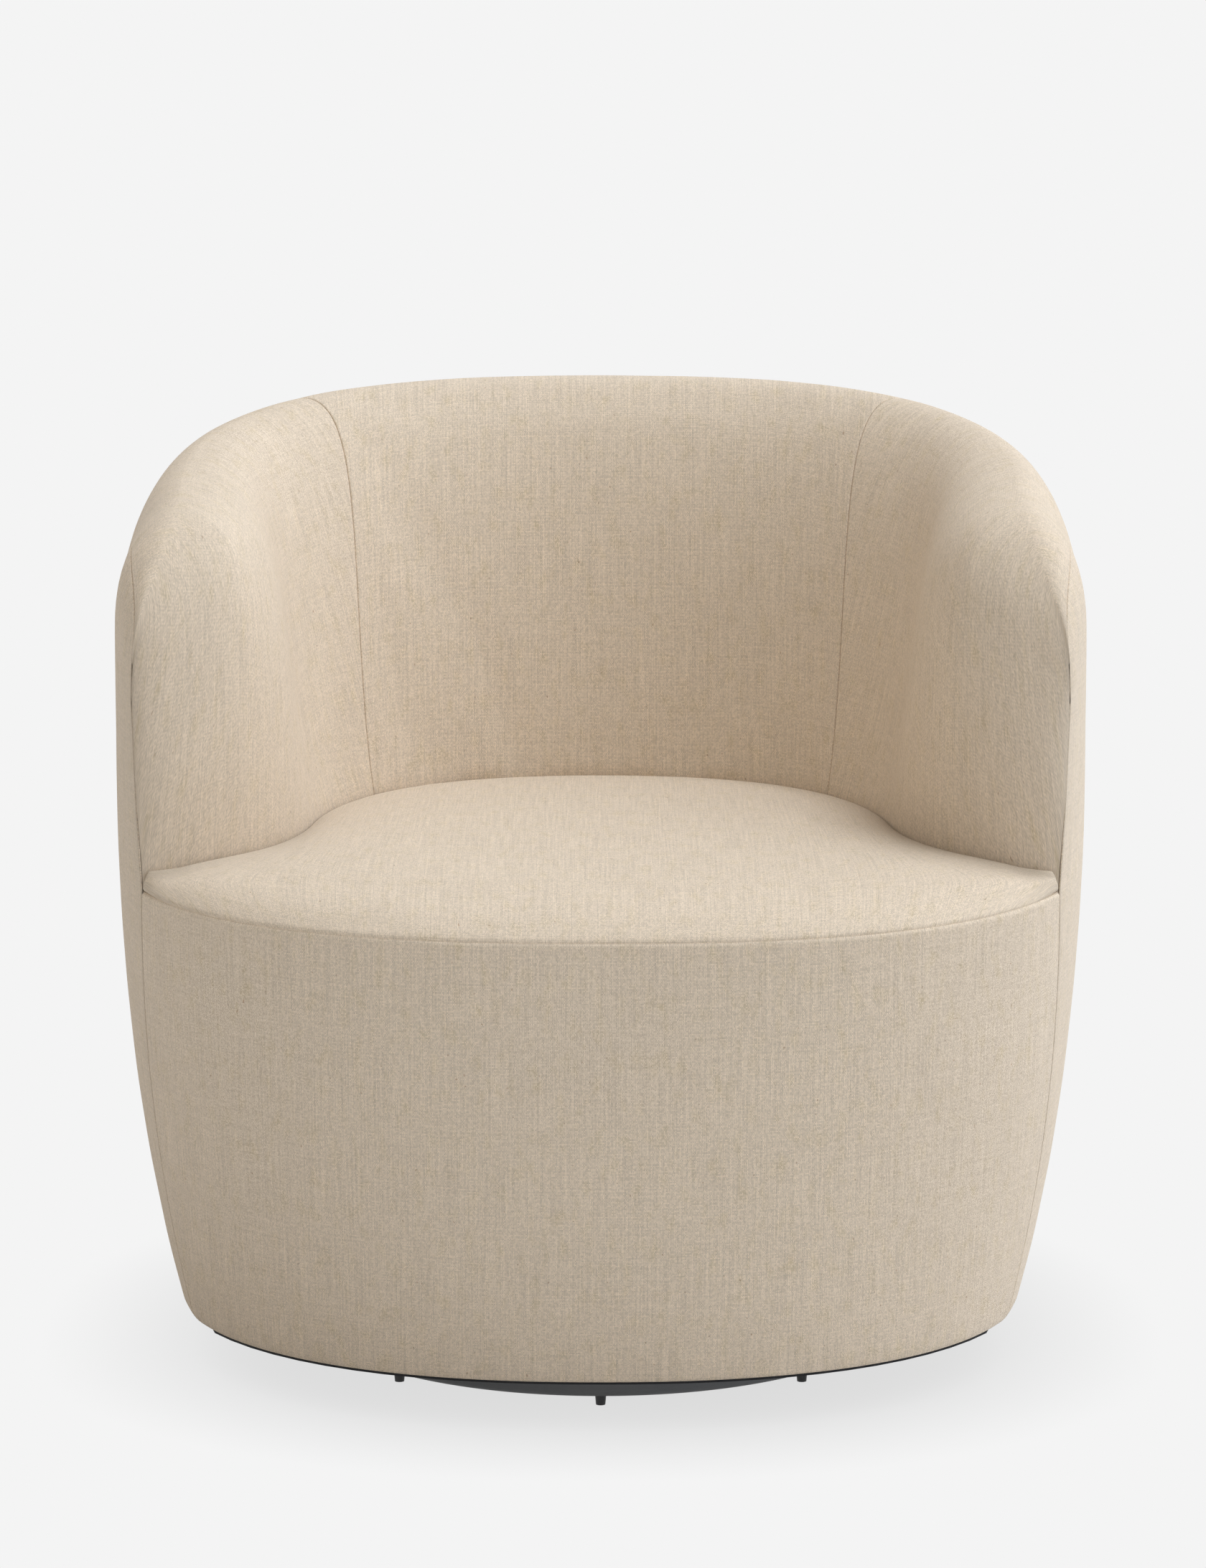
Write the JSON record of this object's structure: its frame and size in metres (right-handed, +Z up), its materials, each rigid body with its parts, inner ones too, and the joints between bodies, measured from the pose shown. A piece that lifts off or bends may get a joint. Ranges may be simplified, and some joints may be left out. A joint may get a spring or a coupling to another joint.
{
  "type": "swivel barrel chair",
  "caption": "Upholstered swivel barrel chair: a low round tub with a rounded crest roll, a wide seat and a curved front, turning on a hidden ball race over a flat round base.",
  "frame": {"origin": "on the swivel axis at the floor, the middle of the chair's footprint", "axes": "+Z up along the swivel axis, the sitter faces -Y, +X is the viewer's right in the picture"},
  "size_m": [0.787, 0.775, 0.749],
  "materials": {
    "base_paint": "matt black",
    "glide": "moulded, dull",
    "plate_steel": "pressed plate, light oil",
    "zinc_steel": "zinc plated",
    "cage_brass": "stamped strip",
    "ball_steel": "ground",
    "dust_cloth": "black non-woven cloth on board",
    "timber": "planed, unfinished",
    "plywood": "sanded, unfinished",
    "fibreboard": "pressed board",
    "spring_wire": "tempered wire and clips",
    "hessian": "open plain weave",
    "foam": "open-cell polyurethane foam",
    "webbing": "flat woven strap",
    "upholstery": "coarse plain weave, oatmeal heather with ochre and brown flecks"
  },
  "bodies": {
    "base": {"base_disc": "base_paint", "glides": "glide", "lower_plate": "plate_steel", "disc_screws": "zinc_steel", "centre_pin": "zinc_steel", "pin_washer": "zinc_steel", "pin_nut": "zinc_steel"},
    "cage": {"ball_cage": "cage_brass", "bearing_balls": "ball_steel"},
    "tub": {"upper_plate": "plate_steel", "plate_bolts": "zinc_steel", "tee_nuts": "zinc_steel", "dust_cover": "dust_cloth", "cross_rail_left": "timber", "cross_rail_right": "timber", "bottom_rail_front": "plywood", "bottom_rail_back": "plywood", "bottom_rail_left": "plywood", "bottom_rail_right": "plywood", "front_post_left": "plywood", "front_post_right": "plywood", "side_rib_left": "plywood", "side_rib_right": "plywood", "quarter_rib_left": "plywood", "quarter_rib_right": "plywood", "back_rib_left": "plywood", "back_rib_right": "plywood", "front_stud_left": "plywood", "front_stud_right": "plywood", "front_board": "fibreboard", "seat_rail_front": "plywood", "seat_rail_back": "timber", "seat_rail_left": "timber", "seat_rail_right": "timber", "corner_blocks": "timber", "crest_rail_back": "plywood", "crest_rail_left": "plywood", "crest_rail_right": "plywood", "seat_springs": "spring_wire", "spring_clips": "spring_wire", "seat_deck": "hessian", "seat_foam": "foam", "back_webbing": "webbing", "arm_webbing": "webbing", "outside_back": "upholstery", "outside_arm_left": "upholstery", "outside_arm_right": "upholstery", "inside_back": "upholstery", "inside_arm_left": "upholstery", "inside_arm_right": "upholstery", "seat_pad": "upholstery", "front_panel": "upholstery"}
  },
  "joints": [
    {"name": "swivel", "type": "hinge", "parent": "base", "child": "tub", "pos_m": [0, 0, 0.03575], "axis": [0, 0, 1], "continuous": true},
    {"name": "cage_turn", "type": "hinge", "parent": "base", "child": "cage", "pos_m": [0, 0, 0.03575], "axis": [0, 0, 1], "continuous": true}
  ],
  "couplings": [
    {"joint": "cage_turn", "follows": "swivel", "ratio": 0.5}
  ]
}
